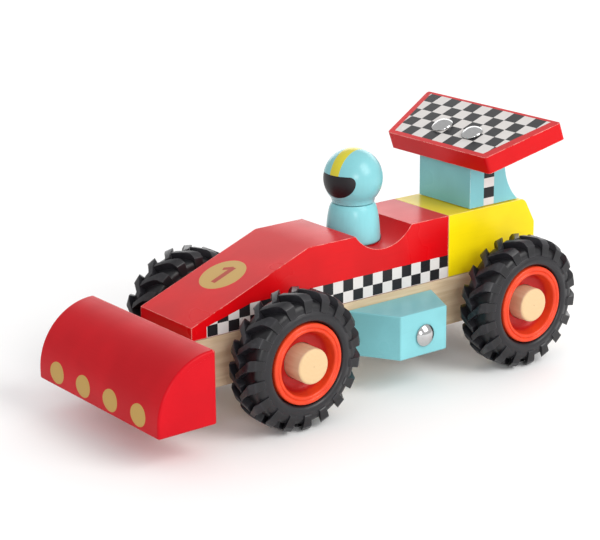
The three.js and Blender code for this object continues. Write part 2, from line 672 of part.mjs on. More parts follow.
axleWithWheels('front', FRONT_AXLE_X);
const rearWheels = axleWithWheels('rear', REAR_AXLE_X);
const axleToA = Math.atan2(shaftA.z - rearAxle.z, shaftA.x - rearAxle.x);
const axleBore = holeRadius(AXLE_R, FIT, AXLE_SEGMENTS);
add('axle_gear', gear(TEETH.axle, axleToA, LAYER.axleGear, axleBore), 'nylon', rearWheels);

// Each wheel has a gap, not a tooth, where the pinion before it has a tooth.
const halfPitch = Math.PI / TEETH.wheel;
add('gear_a', doubleGear(shaftA, axleToA + Math.PI + halfPitch, LAYER.wheelA, 0, LAYER.pinionA), 'nylon');
add('gear_b', doubleGear(shaftB, Math.PI + halfPitch, LAYER.wheelB, 0, LAYER.pinionB), 'nylon');
add('spring_drum', springDrum(), 'nylon');
add('mainspring', mainspring(), 'steel');

function fixedPin(name, radius, at) {
  add(name, bar('y', radius, GAP - MOTOR.half, MOTOR.half - GAP, [at.x, at.z]), 'steel');
}
fixedPin('shaft_a', PIN_R, shaftA);
fixedPin('shaft_b', PIN_R, shaftB);
fixedPin('spring_arbor', ARBOR_R, arbor);
add('motor_case_left', motorCase(1), 'casing');
add('motor_case_right', motorCase(-1), 'casing');
for (const ear of ears) add(`motor_screw_${ear.name}`, earScrew(ear), 'steel');

export default group;
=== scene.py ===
import json
import math

import bmesh
import bpy
from mathutils import Matrix, Quaternion, Vector


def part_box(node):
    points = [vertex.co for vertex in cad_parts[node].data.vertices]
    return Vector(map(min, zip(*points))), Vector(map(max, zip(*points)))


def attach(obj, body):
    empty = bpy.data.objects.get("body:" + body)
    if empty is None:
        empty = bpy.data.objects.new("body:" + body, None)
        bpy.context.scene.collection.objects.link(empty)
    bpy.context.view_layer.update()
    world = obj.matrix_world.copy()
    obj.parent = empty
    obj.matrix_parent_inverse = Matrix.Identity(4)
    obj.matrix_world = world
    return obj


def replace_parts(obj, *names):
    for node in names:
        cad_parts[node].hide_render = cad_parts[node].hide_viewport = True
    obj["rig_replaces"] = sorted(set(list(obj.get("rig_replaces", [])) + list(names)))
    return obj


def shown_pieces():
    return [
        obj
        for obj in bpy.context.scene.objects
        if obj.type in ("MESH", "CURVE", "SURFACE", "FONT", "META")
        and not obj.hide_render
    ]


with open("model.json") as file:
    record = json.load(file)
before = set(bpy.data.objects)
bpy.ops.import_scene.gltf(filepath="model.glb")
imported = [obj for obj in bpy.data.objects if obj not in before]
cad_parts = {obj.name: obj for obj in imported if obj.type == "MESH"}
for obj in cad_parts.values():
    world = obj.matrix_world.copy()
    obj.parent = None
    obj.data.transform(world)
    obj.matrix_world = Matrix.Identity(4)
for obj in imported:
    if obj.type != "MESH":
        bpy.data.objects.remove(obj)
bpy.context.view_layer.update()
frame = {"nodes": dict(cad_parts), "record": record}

MM = 0.001
SIDES = (("left", 1), ("right", -1))
ENDS = ("front", "rear")

# ---------------------------------------------------------------- places and sizes, in millimetres


def box_mm(node):
    low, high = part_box(node)
    return low / MM, high / MM


_, BODY_HIGH = box_mm("front_body")
NOSE_LOW, NOSE_HIGH = box_mm("nose_block")
_, STRUT_HIGH = box_mm("wing_strut")
HEAD_LOW, HEAD_HIGH = box_mm("driver_head")
DRIVER_LOW, _ = box_mm("driver_body")
SIDE_Y = BODY_HIGH.y
DECK_Z = BODY_HIGH.z
AXLE_Z = (box_mm("front_tyre_left")[0].z + box_mm("front_tyre_left")[1].z) / 2
WHEEL_Y = {end: sum(corner.y for corner in box_mm(f"{end}_tyre_left")) / 2 for end in ENDS}
AXLE_X = {end: sum(corner.x for corner in box_mm(f"{end}_tyre_left")) / 2 for end in ENDS}

HOOD_KINK = Vector((18, 0, DECK_Z))
HOOD_TIP = Vector((BODY_HIGH.x, 0, 43.9))
WING_TILT = math.radians(20.3)
WING_EDGE = Vector((-65.73, 0, 92.68))    # middle of the wing's top front edge
PRINT_DEPTH = 0.35                        # how far below a face its print still reaches

BALL_RADIUS = 12.57
BALL = Vector(((HEAD_LOW.x + HEAD_HIGH.x) / 2, 0, HEAD_HIGH.z - BALL_RADIUS))
CREASE_Z = HEAD_LOW.z
HEAD_TURN = math.radians(10)              # the face looks a little to the car's left

TYRE_R = 28.6
LUGS_PER_SIDE = 18
LUG_TURN = {"front": math.radians(1), "rear": math.radians(-2)}    # how far the tyres are turned at rest
RIM_BACK = -8

# ---------------------------------------------------------------- mesh helpers


def new_piece(name, mesh, material, body, replaced, place=None):
    """A finished piece: shown, riding on its body and standing for its CAD nodes."""
    piece = bpy.data.objects.new(name, mesh)
    bpy.context.scene.collection.objects.link(piece)
    if place is not None:
        piece.matrix_world = place
    mesh.materials.clear()
    mesh.materials.append(material)
    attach(piece, body)
    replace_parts(piece, *replaced)
    return piece


def mesh_from(bm, name, sharp_angle=38):
    """Closes the work on bm: outward faces, smooth shading, and hard edges past the given angle."""
    bmesh.ops.recalc_face_normals(bm, faces=bm.faces)
    for face in bm.faces:
        face.smooth = True
    mesh = bpy.data.meshes.new(name)
    bm.to_mesh(mesh)
    bm.free()
    mesh.set_sharp_from_angle(angle=math.radians(sharp_angle))
    return mesh


def weight_normals(piece):
    modifier = piece.modifiers.new("even_flats", "WEIGHTED_NORMAL")
    modifier.keep_sharp = True
    modifier.weight = 80


def ease_edges(bm, width, segments, past=50, clamp=True):
    """Rounds every edge sharper than the given angle, width in millimetres."""
    sharp = [
        edge for edge in bm.edges
        if len(edge.link_faces) == 2 and edge.calc_face_angle() > math.radians(past)
    ]
    bmesh.ops.bevel(
        bm, geom=sharp, offset=width * MM, offset_type="OFFSET", segments=segments, profile=0.5,
        affect="EDGES", clamp_overlap=clamp, harden_normals=False,
    )


def clean_copy(node):
    """A CAD node's own solid, its flat faces whole again."""
    bm = bmesh.new()
    bm.from_mesh(frame["nodes"][node].data)
    bmesh.ops.remove_doubles(bm, verts=bm.verts, dist=0.002 * MM)
    bmesh.ops.dissolve_limit(
        bm, angle_limit=math.radians(0.6), verts=bm.verts, edges=bm.edges, use_dissolve_boundaries=False,
    )
    return bm


def eased_block(node, material, width=0.55, segments=3, clamp=True):
    bm = clean_copy(node)
    ease_edges(bm, width, segments, clamp=clamp)
    piece = new_piece(f"{node}_finished", mesh_from(bm, node), material, "car_body", [node])
    weight_normals(piece)


def lathe(profile, segments, closed=False):
    """A solid turned about Y from radius and Y pairs in millimetres."""
    bm = bmesh.new()
    rings = []
    for i in range(segments):
        angle = 2 * math.pi * i / segments
        rings.append([
            bm.verts.new((r * math.cos(angle) * MM, y * MM, r * math.sin(angle) * MM)) for r, y in profile
        ])
    steps = len(profile) if closed else len(profile) - 1
    for i in range(segments):
        here, there = rings[i], rings[(i + 1) % segments]
        for j in range(steps):
            k = (j + 1) % len(profile)
            bm.faces.new((here[j], here[k], there[k], there[j]))
    bmesh.ops.remove_doubles(bm, verts=bm.verts, dist=0.001 * MM)
    bmesh.ops.dissolve_degenerate(bm, edges=bm.edges, dist=0.0005 * MM)
    return bm


def arc(centre, radius, start, end, steps):
    """Points on an arc in a lathe's profile, angles in degrees from the radial direction."""
    return [
        (
            centre[0] + radius * math.cos(math.radians(start + (end - start) * i / steps)),
            centre[1] + radius * math.sin(math.radians(start + (end - start) * i / steps)),
        )
        for i in range(steps + 1)
    ]


def smooth_through(points, steps):
    """A Catmull-Rom curve through a profile's points."""
    padded = [points[0], *points, points[-1]]
    curve = []
    for i in range(1, len(padded) - 2):
        a, b, c, d = (Vector(p) for p in padded[i - 1:i + 3])
        for step in range(steps):
            t = step / steps
            curve.append(tuple(
                0.5 * ((2 * b) + (c - a) * t + (2 * a - 5 * b + 4 * c - d) * t ** 2
                       + (3 * b - a - 3 * c + d) * t ** 3)
            ))
    return [*curve, points[-1]]


# ---------------------------------------------------------------- shader helpers

EVEN = (1, 1, 1)                          # a noise that is stretched along no axis


class Shader:
    """A material's node tree, built through short calls. A value is a number, a colour or a socket."""

    def __init__(self, name):
        self.material = bpy.data.materials.new(name)
        self.material.use_nodes = True
        self.tree = self.material.node_tree
        self.surface = self.tree.nodes["Principled BSDF"]
        place = self.tree.nodes.new("ShaderNodeTexCoord").outputs["Object"]
        self.mm = self.vector("MULTIPLY", place, (1 / MM,) * 3)
        self.x, self.y, self.z = self.separate(self.mm)

    def put(self, socket, value):
        if isinstance(value, bpy.types.NodeSocket):
            self.tree.links.new(value, socket)
        elif isinstance(value, (tuple, list)) and len(value) == 3 and socket.type == "RGBA":
            socket.default_value = (*value, 1)
        else:
            socket.default_value = value

    def set(self, **values):
        for name, value in values.items():
            self.put(self.surface.inputs[name.replace("_", " ")], value)

    def vector(self, operation, a, b):
        node = self.tree.nodes.new("ShaderNodeVectorMath")
        node.operation = operation
        self.put(node.inputs[0], a)
        self.put(node.inputs[1], b)
        return node.outputs["Value" if operation in ("DOT_PRODUCT", "LENGTH") else "Vector"]

    def separate(self, vector):
        node = self.tree.nodes.new("ShaderNodeSeparateXYZ")
        self.put(node.inputs[0], vector)
        return node.outputs

    def join(self, x, y, z):
        node = self.tree.nodes.new("ShaderNodeCombineXYZ")
        for socket, value in zip(node.inputs, (x, y, z)):
            self.put(socket, value)
        return node.outputs[0]

    def length(self, x, z):
        """How far the point x, z lies from the Y axis."""
        return self.vector("LENGTH", self.join(x, 0.0, z), (0, 0, 0))

    def math(self, operation, a, b=0.0):
        node = self.tree.nodes.new("ShaderNodeMath")
        node.operation = operation
        self.put(node.inputs[0], a)
        self.put(node.inputs[1], b)
        return node.outputs[0]

    def add(self, a, b):
        return self.math("ADD", a, b)

    def sub(self, a, b):
        return self.math("SUBTRACT", a, b)

    def mul(self, *factors):
        product = factors[0]
        for factor in factors[1:]:
            product = self.math("MULTIPLY", product, factor)
        return product

    def over(self, a, b):
        return self.math("GREATER_THAN", a, b)

    def under(self, a, b):
        return self.math("LESS_THAN", a, b)

    def between(self, value, low, high):
        return self.mul(self.over(value, low), self.under(value, high))

    def either(self, a, b):
        return self.math("MAXIMUM", a, b)

    def ramp(self, value, low, high, to_low=0.0, to_high=1.0):
        node = self.tree.nodes.new("ShaderNodeMapRange")
        node.interpolation_type = "SMOOTHSTEP"
        for socket, given in zip(node.inputs, (value, low, high, to_low, to_high)):
            self.put(socket, given)
        return node.outputs[0]

    def mix(self, factor, a, b):
        node = self.tree.nodes.new("ShaderNodeMix")
        node.data_type = "RGBA"
        self.put(node.inputs[0], factor)
        self.put(node.inputs[6], a)
        self.put(node.inputs[7], b)
        return node.outputs[2]

    def noise(self, size, stretch, detail, offset=0.0, roughness=0.5):
        """Smooth noise from 0 to 1 whose features are about size millimetres wide, longer along stretch."""
        node = self.tree.nodes.new("ShaderNodeTexNoise")
        scale = tuple(1 / (size * along) for along in stretch)
        place = self.vector("MULTIPLY", self.vector("ADD", self.mm, (offset,) * 3), scale)
        self.put(node.inputs["Vector"], place)
        node.inputs["Scale"].default_value = 1.0
        node.inputs["Detail"].default_value = detail
        node.inputs["Roughness"].default_value = roughness
        return node.outputs[0]

    def bump(self, height, depth):
        """Raises the surface by depth millimetres where height is 1."""
        node = self.tree.nodes.new("ShaderNodeBump")
        node.inputs["Strength"].default_value = 1.0
        node.inputs["Distance"].default_value = depth * MM
        self.put(node.inputs["Height"], height)
        return node.outputs[0]

    def edges(self, reach, low=0.015, high=0.12):
        """1 on the piece's edges, fading to 0 within reach millimetres of them."""
        rounded = self.tree.nodes.new("ShaderNodeBevel")
        rounded.samples = 6
        rounded.inputs["Radius"].default_value = reach * MM
        plain = self.tree.nodes.new("ShaderNodeNewGeometry").outputs["Normal"]
        alike = self.vector("DOT_PRODUCT", rounded.outputs[0], plain)
        return self.ramp(self.sub(1.0, alike), low, high)

    def rectangle(self, u, v, centre, half, turn):
        """1 inside a rectangle in the plane of u and v, turned by the given degrees."""
        du, dv = self.sub(u, centre[0]), self.sub(v, centre[1])
        if turn:
            cos, sin = math.cos(math.radians(turn)), math.sin(math.radians(turn))
            du, dv = (
                self.add(self.mul(du, cos), self.mul(dv, sin)),
                self.sub(self.mul(dv, cos), self.mul(du, sin)),
            )
        return self.mul(
            self.under(self.math("ABSOLUTE", du), half[0]), self.under(self.math("ABSOLUTE", dv), half[1]),
        )

    def disc(self, u, v, centre, radius):
        du, dv = self.sub(u, centre[0]), self.sub(v, centre[1])
        return self.under(self.add(self.mul(du, du), self.mul(dv, dv)), radius ** 2)

    def chequer(self, u, v, cell):
        """1 and 0 by turns over cells of the given width and height, 1 in the cell next above the origin."""
        column = self.math("FLOOR", self.math("DIVIDE", u, cell[0]))
        row = self.math("FLOOR", self.math("DIVIDE", v, cell[1]))
        return self.math("FLOORED_MODULO", self.add(self.add(column, row), 1.0), 2.0)


# ---------------------------------------------------------------- finishes

# Linear colours
RED = (0.62, 0.002, 0.005)
# A darker copy of RED: painted shade for the nose, whose front faces away from the key light.
NOSE_RED_SHADED = (0.55, 0.003, 0.010)
YELLOW = (0.90, 0.70, 0.004)
BLUE = (0.22, 0.555, 0.60)
GOLD = (0.50, 0.31, 0.085)
PRINT_WHITE = (0.66, 0.63, 0.61)
PRINT_BLACK = (0.016, 0.016, 0.018)
STRIPE_YELLOW = (0.60, 0.53, 0.03)
VISOR_BLACK = (0.006, 0.005, 0.007)
WOOD_LIGHT = (0.68, 0.54, 0.37)
WOOD_DARK = (0.54, 0.40, 0.25)
WOOD_PATCH = (0.74, 0.56, 0.36)
WOOD_EDGE = (0.80, 0.63, 0.42)
END_LIGHT = (0.66, 0.46, 0.25)
END_DARK = (0.56, 0.37, 0.18)
END_PORE = (0.42, 0.27, 0.13)
PIP = (0.20, 0.11, 0.05)
# Orange light thrown back from the rim, painted on a hub dowel's side.
RIM_GLOW_PAINTED = (0.46, 0.22, 0.11)
BARE_CHIP = (0.80, 0.62, 0.50)
# Where a dowel's growth rings centre, how close they lie and how far they wander.
RINGS = {"x": -2.4, "z": 9.0, "per_mm": 3.4, "wobble": 1.6}


def wood_colour(shader, along, offset):
    """Pale close-grained wood whose grain runs along the given stretch."""
    stretch = tuple(14 if axis else 1 for axis in along)
    fine_stretch = tuple(22 if axis else 1 for axis in along)
    bands = shader.noise(2.6, stretch, 3.0, offset, 0.55)
    fibres = shader.noise(0.42, fine_stretch, 2.0, offset + 7)
    patch = shader.noise(24, EVEN, 1.0, offset + 3)
    colour = shader.mix(shader.ramp(bands, 0.34, 0.68), WOOD_DARK, WOOD_LIGHT)
    colour = shader.mix(shader.ramp(fibres, 0.52, 0.8, 0.0, 0.28), colour, WOOD_DARK)
    colour = shader.mix(shader.ramp(patch, 0.3, 0.7, 0.0, 0.22), colour, WOOD_PATCH)
    return colour, bands, fibres


def natural_wood(name, along, offset=0.0):
    shader = Shader(name)
    colour, bands, fibres = wood_colour(shader, along, offset)
    edge = shader.edges(0.8)
    shader.set(
        Base_Color=shader.mix(shader.mul(edge, 0.3), colour, WOOD_EDGE),
        Roughness=shader.ramp(fibres, 0.3, 0.8, 0.52, 0.68),
        Normal=shader.bump(shader.add(shader.mul(bands, 0.35), fibres), 0.05),
    )
    return shader.material


def dowel_wood(name, end_y, offset):
    """A dowel along Y: straight grain on its side, tinted orange there as painted light thrown back from the
    rim, and pores, faint rings and a pip on its end at end_y.
    """
    shader = Shader(name)
    side, bands, fibres = wood_colour(shader, (0, 1, 0), offset)
    reach = shader.length(shader.sub(shader.x, RINGS["x"]), shader.sub(shader.z, RINGS["z"]))
    wobble = shader.noise(6, EVEN, 1.0, offset + 11)
    rings = shader.add(reach, shader.mul(wobble, RINGS["wobble"]))
    rings = shader.math("SINE", shader.mul(rings, RINGS["per_mm"]))
    pores = shader.ramp(shader.noise(0.34, EVEN, 1.0, offset + 5), 0.62, 0.76)
    end = shader.mix(shader.ramp(rings, -1.0, 1.0, 0.0, 0.08), END_LIGHT, END_DARK)
    end = shader.mix(shader.mul(pores, 0.25), end, END_PORE)
    on_end = shader.ramp(shader.y, end_y - 0.7, end_y - 0.3)
    radius = shader.length(shader.x, shader.z)
    pip = shader.mul(on_end, shader.ramp(radius, 0.15, 0.3, 1.0, 0.0))
    # Painted reflected light: the dowel's side is tinted towards the rim's orange glow.
    colour = shader.mix(on_end, shader.mix(0.35, side, RIM_GLOW_PAINTED), end)
    colour = shader.mix(shader.mul(pip, 0.5), colour, PIP)
    height = shader.mix(on_end, fibres, shader.sub(0.6, shader.mul(pores, 0.6)))
    shader.set(
        Base_Color=colour,
        Roughness=shader.ramp(bands, 0.3, 0.7, 0.55, 0.66),
        Normal=shader.bump(shader.sub(height, pip), 0.05),
    )
    return shader.material


def paint(shader, colour, worn, grain=(1, 0, 0), offset=0.0, bare=0.6):
    """Satin lacquer over wood: slight tone changes, faint grain, and edges rubbed thin with a few chips."""
    stretch = tuple(16 if axis else 1 for axis in grain)
    tone = shader.noise(26, EVEN, 2.0, offset)
    grain_lines = shader.noise(0.9, stretch, 2.0, offset + 4)
    peel = shader.noise(1.7, EVEN, 2.0, offset + 9)
    dust = shader.ramp(shader.noise(0.5, EVEN, 1.0, offset + 13), 0.74, 0.8)
    darker = tuple(channel * 0.86 for channel in colour)
    shade = shader.mix(shader.ramp(tone, 0.3, 0.7), colour, darker)
    darkest = tuple(channel * 0.7 for channel in colour)
    shade = shader.mix(shader.ramp(grain_lines, 0.45, 0.75, 0.0, 0.10), shade, darkest)
    edge = shader.edges(0.5)
    rubbed = shader.mul(edge, shader.ramp(shader.noise(5.0, EVEN, 3.0, offset + 17), 0.30, 0.56))
    chipped = shader.mul(
        shader.edges(0.6, 0.04, 0.14), shader.ramp(shader.noise(1.3, EVEN, 3.0, offset + 21), 0.56, 0.60),
    )
    return {
        "colour": shade, "rubbed": rubbed, "chipped": chipped, "worn": worn, "bare": bare, "tone": tone,
        "grain": grain_lines, "peel": peel, "dust": dust,
    }


def finish_paint(shader, layers, gloss=0.27, specular=0.2):
    """Puts the worn edges over the paint and its prints, and sets the lacquer, rougher on a dull print."""
    colour = shader.mix(shader.mul(layers["rubbed"], 0.8), layers["colour"], layers["worn"])
    colour = shader.mix(shader.mul(layers["chipped"], layers["bare"]), colour, BARE_CHIP)
    rough = shader.ramp(layers["tone"], 0.3, 0.7, gloss, gloss + 0.07)
    rough = shader.add(rough, shader.mul(layers["chipped"], 0.25))
    if "dull" in layers:
        rough = shader.add(rough, shader.mul(layers["dull"], 0.22))
    height = shader.add(shader.mul(layers["grain"], 0.45), shader.mul(layers["peel"], 0.55))
    height = shader.add(height, shader.mul(layers["dust"], 0.5))
    height = shader.sub(height, shader.mul(layers["chipped"], 1.6))
    shader.set(
        Base_Color=colour, Roughness=rough, Specular_IOR_Level=specular,
        Normal=shader.bump(height, 0.018),
    )
    return shader.material


def print_over(shader, layers, mask, colour):
    layers["colour"] = shader.mix(mask, layers["colour"], colour)


def black_and_white(shader, white_mask, offset=0.0):
    """Printed cells: the white a little uneven, the black with pin-sized gaps."""
    speck = shader.ramp(shader.noise(0.45, EVEN, 1.0, offset + 30), 0.72, 0.8)
    uneven = shader.ramp(shader.noise(3.0, EVEN, 2.0, offset + 33), 0.3, 0.7, 0.0, 0.25)
    white = shader.mix(uneven, PRINT_WHITE, (0.56, 0.53, 0.52))
    black = shader.mix(shader.mul(speck, 0.3), PRINT_BLACK, (0.10, 0.10, 0.11))
    return shader.mix(white_mask, black, white)


def plain_paint(name, colour, worn, grain=(1, 0, 0), offset=0.0, gloss=0.27):
    shader = Shader(name)
    return finish_paint(shader, paint(shader, colour, worn, grain, offset), gloss)


RED_WORN = (0.88, 0.42, 0.38)
BLUE_WORN = (0.55, 0.78, 0.80)
YELLOW_WORN = (0.85, 0.72, 0.30)

SIDE_CHEQUER = {
    "start": -58.4, "foot": 38.35, "cell": (5.3, 5.05), "end": 68.8, "bend": 47.0, "end_height": 4.75,
    "edge": 0.35,
}
HOOD_DISC = {"along": 30.2, "across": -2.4, "radius": 10.1}
NUMERAL_RED = (0.39, 0.045, 0.022)
# The two bars of the number 1: where each is centred from the disc's middle, half its sizes, and its turn.
NUMERAL_STEM = {"at": (0.0, 0.55), "half": (5.8, 1.4), "turn": 0}
NUMERAL_FLAG = {"at": (-4.15, -1.65), "half": (0.95, 2.3), "turn": 33}


def front_body_paint():
    """Red paint with a chequered strip down each side and a numbered disc on the hood."""
    shader = Shader("front_body_red")
    layers = paint(shader, RED, RED_WORN, offset=2.0)

    strip = SIDE_CHEQUER
    rise = shader.sub(shader.z, strip["foot"])
    top = 2 * strip["cell"][1]
    fall = (top - strip["end_height"]) / (strip["end"] - strip["bend"])
    past_bend = shader.math("MAXIMUM", shader.sub(shader.x, strip["bend"]), 0.0)
    slope = shader.sub(top, shader.mul(past_bend, fall))
    on_side = shader.over(shader.math("ABSOLUTE", shader.y), SIDE_Y - PRINT_DEPTH)
    field = shader.mul(on_side, shader.under(rise, slope), shader.under(shader.x, strip["end"]))
    white = shader.chequer(shader.sub(shader.x, strip["start"]), rise, strip["cell"])
    border = shader.either(
        shader.over(shader.x, strip["end"] - strip["edge"]), shader.under(rise, strip["edge"]),
    )
    print_over(shader, layers, field, black_and_white(shader, shader.either(white, border)))

    slope_way = (HOOD_TIP - HOOD_KINK).normalized()
    slope_out = Vector((-slope_way.z, 0, slope_way.x))
    from_kink = shader.vector("SUBTRACT", shader.mm, tuple(HOOD_KINK))
    along = shader.vector("DOT_PRODUCT", from_kink, tuple(slope_way))
    depth = shader.vector("DOT_PRODUCT", from_kink, tuple(slope_out))
    on_slope = shader.over(depth, -PRINT_DEPTH)
    centre = (HOOD_DISC["along"], HOOD_DISC["across"])
    disc = shader.mul(on_slope, shader.disc(along, shader.y, centre, HOOD_DISC["radius"]))
    print_over(shader, layers, disc, GOLD)
    stem, flag = (
        shader.rectangle(
            along, shader.y, (centre[0] + bar["at"][0], centre[1] + bar["at"][1]), bar["half"], bar["turn"],
        )
        for bar in (NUMERAL_STEM, NUMERAL_FLAG)
    )
    print_over(shader, layers, shader.mul(disc, shader.either(stem, flag)), NUMERAL_RED)
    return finish_paint(shader, layers)


def nose_paint():
    """Red paint, darker than the body's as painted shade, with four gold discs along the foot of the front
    face.
    """
    shader = Shader("nose_red")
    layers = paint(shader, NOSE_RED_SHADED, RED_WORN, grain=(0, 1, 0), offset=40.0)
    outer, height, radius = 29.7, 19.6, 5.2
    squash = 1.16                         # the discs are a little less high than wide
    in_front = shader.over(shader.x, (NOSE_LOW.x + NOSE_HIGH.x) / 2)
    for across in (-outer, -outer / 3, outer / 3, outer):
        spot = shader.disc(shader.y, shader.mul(shader.z, squash), (across, height * squash), radius)
        print_over(shader, layers, shader.mul(in_front, spot), GOLD)
    return finish_paint(shader, layers, gloss=0.34, specular=0.12)


def wing_paint():
    """Red paint with a chequered field on the top, inside a thin red border."""
    shader = Shader("wing_red")
    layers = paint(shader, RED, RED_WORN, grain=(0, 1, 0), offset=70.0)
    rearward = (-math.cos(WING_TILT), 0, math.sin(WING_TILT))
    upward = (math.sin(WING_TILT), 0, math.cos(WING_TILT))
    from_edge = shader.vector("SUBTRACT", shader.mm, tuple(WING_EDGE))
    along = shader.vector("DOT_PRODUCT", from_edge, rearward)
    depth = shader.vector("DOT_PRODUCT", from_edge, upward)
    start, end = 2.5, 34.2
    front_half, rear_half = 28.6, 38.4
    aside = 0.7                           # how far the field lies to the car's right
    spread = (rear_half - front_half) / (end - start)
    half = shader.add(front_half, shader.mul(shader.sub(along, start), spread))
    field = shader.mul(
        shader.between(along, start, end), shader.over(depth, -PRINT_DEPTH),
        shader.under(shader.math("ABSOLUTE", shader.add(shader.y, aside)), half),
    )
    rows, cell_width, column_edge = 5, 6.7, -4.8
    cell = (cell_width, (end - start) / rows)
    white = shader.chequer(shader.sub(shader.y, column_edge), shader.sub(along, start), cell)
    print_over(shader, layers, field, black_and_white(shader, white, 5.0))
    return finish_paint(shader, layers)


def strut_paint():
    """Pale blue paint with a single chequered column on each side."""
    shader = Shader("strut_blue")
    layers = paint(shader, BLUE, BLUE_WORN, grain=(0, 0, 1), offset=100.0)
    column, lowest_white, next_white = (-85.7, -79.7), 69.6, (74.3, 78.5)
    on_side = shader.over(shader.math("ABSOLUTE", shader.y), STRUT_HIGH.y - PRINT_DEPTH)
    band = shader.mul(on_side, shader.between(shader.x, *column))
    white = shader.either(shader.under(shader.z, lowest_white), shader.between(shader.z, *next_white))
    print_over(shader, layers, band, black_and_white(shader, white, 9.0))
    return finish_paint(shader, layers)


def head_paint():
    """A pale blue helmet with a black visor and a yellow stripe over its crown."""
    shader = Shader("helmet_blue")
    layers = paint(shader, BLUE, BLUE_WORN, grain=(0, 0, 1), offset=130.0, bare=0.0)
    cos, sin = math.cos(HEAD_TURN), math.sin(HEAD_TURN)
    from_ball = shader.vector("SUBTRACT", shader.mm, tuple(BALL))
    ahead = shader.vector("DOT_PRODUCT", from_ball, (cos, sin, 0))
    across = shader.vector("DOT_PRODUCT", from_ball, (-sin, cos, 0))
    up = shader.vector("DOT_PRODUCT", from_ball, (0, 0, 1))
    aside = shader.math("ABSOLUTE", across)
    half_width, middle, top, bottom, corner = 9.05, 0.3, 2.95, -6.8, 6.8

    def part_of(value, whole):
        share = shader.math("DIVIDE", value, whole)
        return shader.mul(share, share)

    lift = shader.sub(up, middle)
    past_corner = shader.math("MAXIMUM", shader.sub(aside, corner), 0.0)
    upper = shader.mul(
        shader.over(lift, 0.0), shader.under(up, top),
        shader.under(
            shader.add(part_of(past_corner, half_width - corner), part_of(lift, top - middle)), 1.0,
        ),
    )
    upper_flat = shader.mul(shader.between(up, middle, top), shader.under(aside, corner))
    lower = shader.mul(
        shader.under(lift, 0.001),
        shader.under(shader.add(part_of(across, half_width), part_of(lift, middle - bottom)), 1.0),
    )
    visor = shader.mul(shader.over(ahead, 0.0), shader.either(shader.either(upper, upper_flat), lower))
    widening = shader.add(2.25, shader.mul(up, 0.03))
    stripe = shader.mul(shader.under(aside, widening), shader.over(up, top))
    print_over(shader, layers, stripe, STRIPE_YELLOW)
    print_over(shader, layers, visor, VISOR_BLACK)
    layers["dull"] = visor
    return finish_paint(shader, layers, gloss=0.2, specular=0.4)


def rubber():
    """Dark moulded rubber: fine texture, painted shade darkening the hollows between the lugs, a little grey
    on the lugs. Its axis is Y.
    """
    shader = Shader("tyre_rubber")
    lug_tops, valley_shade_band, shoulder, mould_line = (26.6, 28.4), (24.8, 26.2), (21.6, 23.2), 21.1
    radius = shader.length(shader.x, shader.z)
    fine = shader.noise(0.35, EVEN, 2.0)
    broad = shader.noise(7, EVEN, 2.0, 3.0)
    scuff = shader.noise(1.6, (1, 2, 1), 3.0, 8.0)
    worn = shader.mul(shader.ramp(radius, *lug_tops), shader.ramp(scuff, 0.42, 0.72))
    colour = shader.mix(shader.ramp(broad, 0.3, 0.7), (0.010, 0.0095, 0.012), (0.015, 0.0145, 0.018))
    # Painted shade: the tread's hollows between the lugs are darkened towards near black.
    colour = shader.mix(shader.ramp(radius, *valley_shade_band, 0.7, 0.0), colour, (0.005, 0.005, 0.006))
    colour = shader.mix(shader.ramp(radius, *shoulder, 1.0, 0.0), colour, (0.013, 0.0125, 0.015))
    colour = shader.mix(shader.mul(worn, 0.4), colour, (0.050, 0.049, 0.054))
    colour = shader.mix(shader.mul(shader.edges(0.4), 0.3), colour, (0.08, 0.079, 0.085))
    line = shader.sub(
        shader.ramp(radius, mould_line - 0.25, mould_line - 0.05),
        shader.ramp(radius, mould_line + 0.05, mould_line + 0.25),
    )
    shader.set(
        Base_Color=colour,
        Roughness=shader.ramp(broad, 0.3, 0.7, 0.30, 0.42),
        Normal=shader.bump(shader.add(shader.mul(fine, 0.4), line), 0.04),
        Specular_IOR_Level=0.40,
    )
    return shader.material


def rim_plastic():
    """Glossy orange-red moulding, darkened to deep red in its dish as painted shade, with faint turning
    marks. Its axis is Y.
    """
    shader = Shader("rim_orange")
    radius = shader.length(shader.x, shader.z)
    cloud = shader.noise(5, EVEN, 2.0)
    marks = shader.math("SINE", shader.mul(radius, 19.0))
    colour = shader.mix(shader.ramp(cloud, 0.3, 0.7), (0.72, 0.054, 0.013), (0.65, 0.042, 0.011))
    # Painted shade: the dish inside the inner band is darkened to a deep red.
    dish_painted_shade = shader.ramp(radius, 12.0, 13.0, 0.9, 0.0)
    colour = shader.mix(dish_painted_shade, colour, (0.42, 0.003, 0.005))
    scratches = shader.ramp(shader.noise(0.5, (6, 6, 1), 2.0, 4.0), 0.66, 0.78)
    shader.set(
        Base_Color=colour,
        Roughness=shader.ramp(cloud, 0.3, 0.7, 0.30, 0.38),
        Normal=shader.bump(shader.add(shader.mul(marks, 0.12), shader.mul(scratches, 0.5)), 0.012),
        Specular_IOR_Level=0.28,
    )
    return shader.material


def steel(name, colour, rough, grain=EVEN, offset=0.0):
    """Bright steel with fine scratches and slightly uneven polish."""
    shader = Shader(name)
    haze = shader.noise(2.2, EVEN, 2.0, offset)
    lines = shader.ramp(shader.noise(0.22, tuple(1 + 11 * g for g in grain), 2.0, offset + 5), 0.62, 0.74)
    shader.set(
        Base_Color=shader.mix(shader.ramp(haze, 0.3, 0.7, 0.0, 0.4), colour, tuple(c * 0.82 for c in colour)),
        Metallic=1.0,
        Roughness=shader.add(shader.ramp(haze, 0.3, 0.7, rough, rough + 0.1), shader.mul(lines, 0.12)),
        Normal=shader.bump(lines, 0.006),
    )
    return shader.material


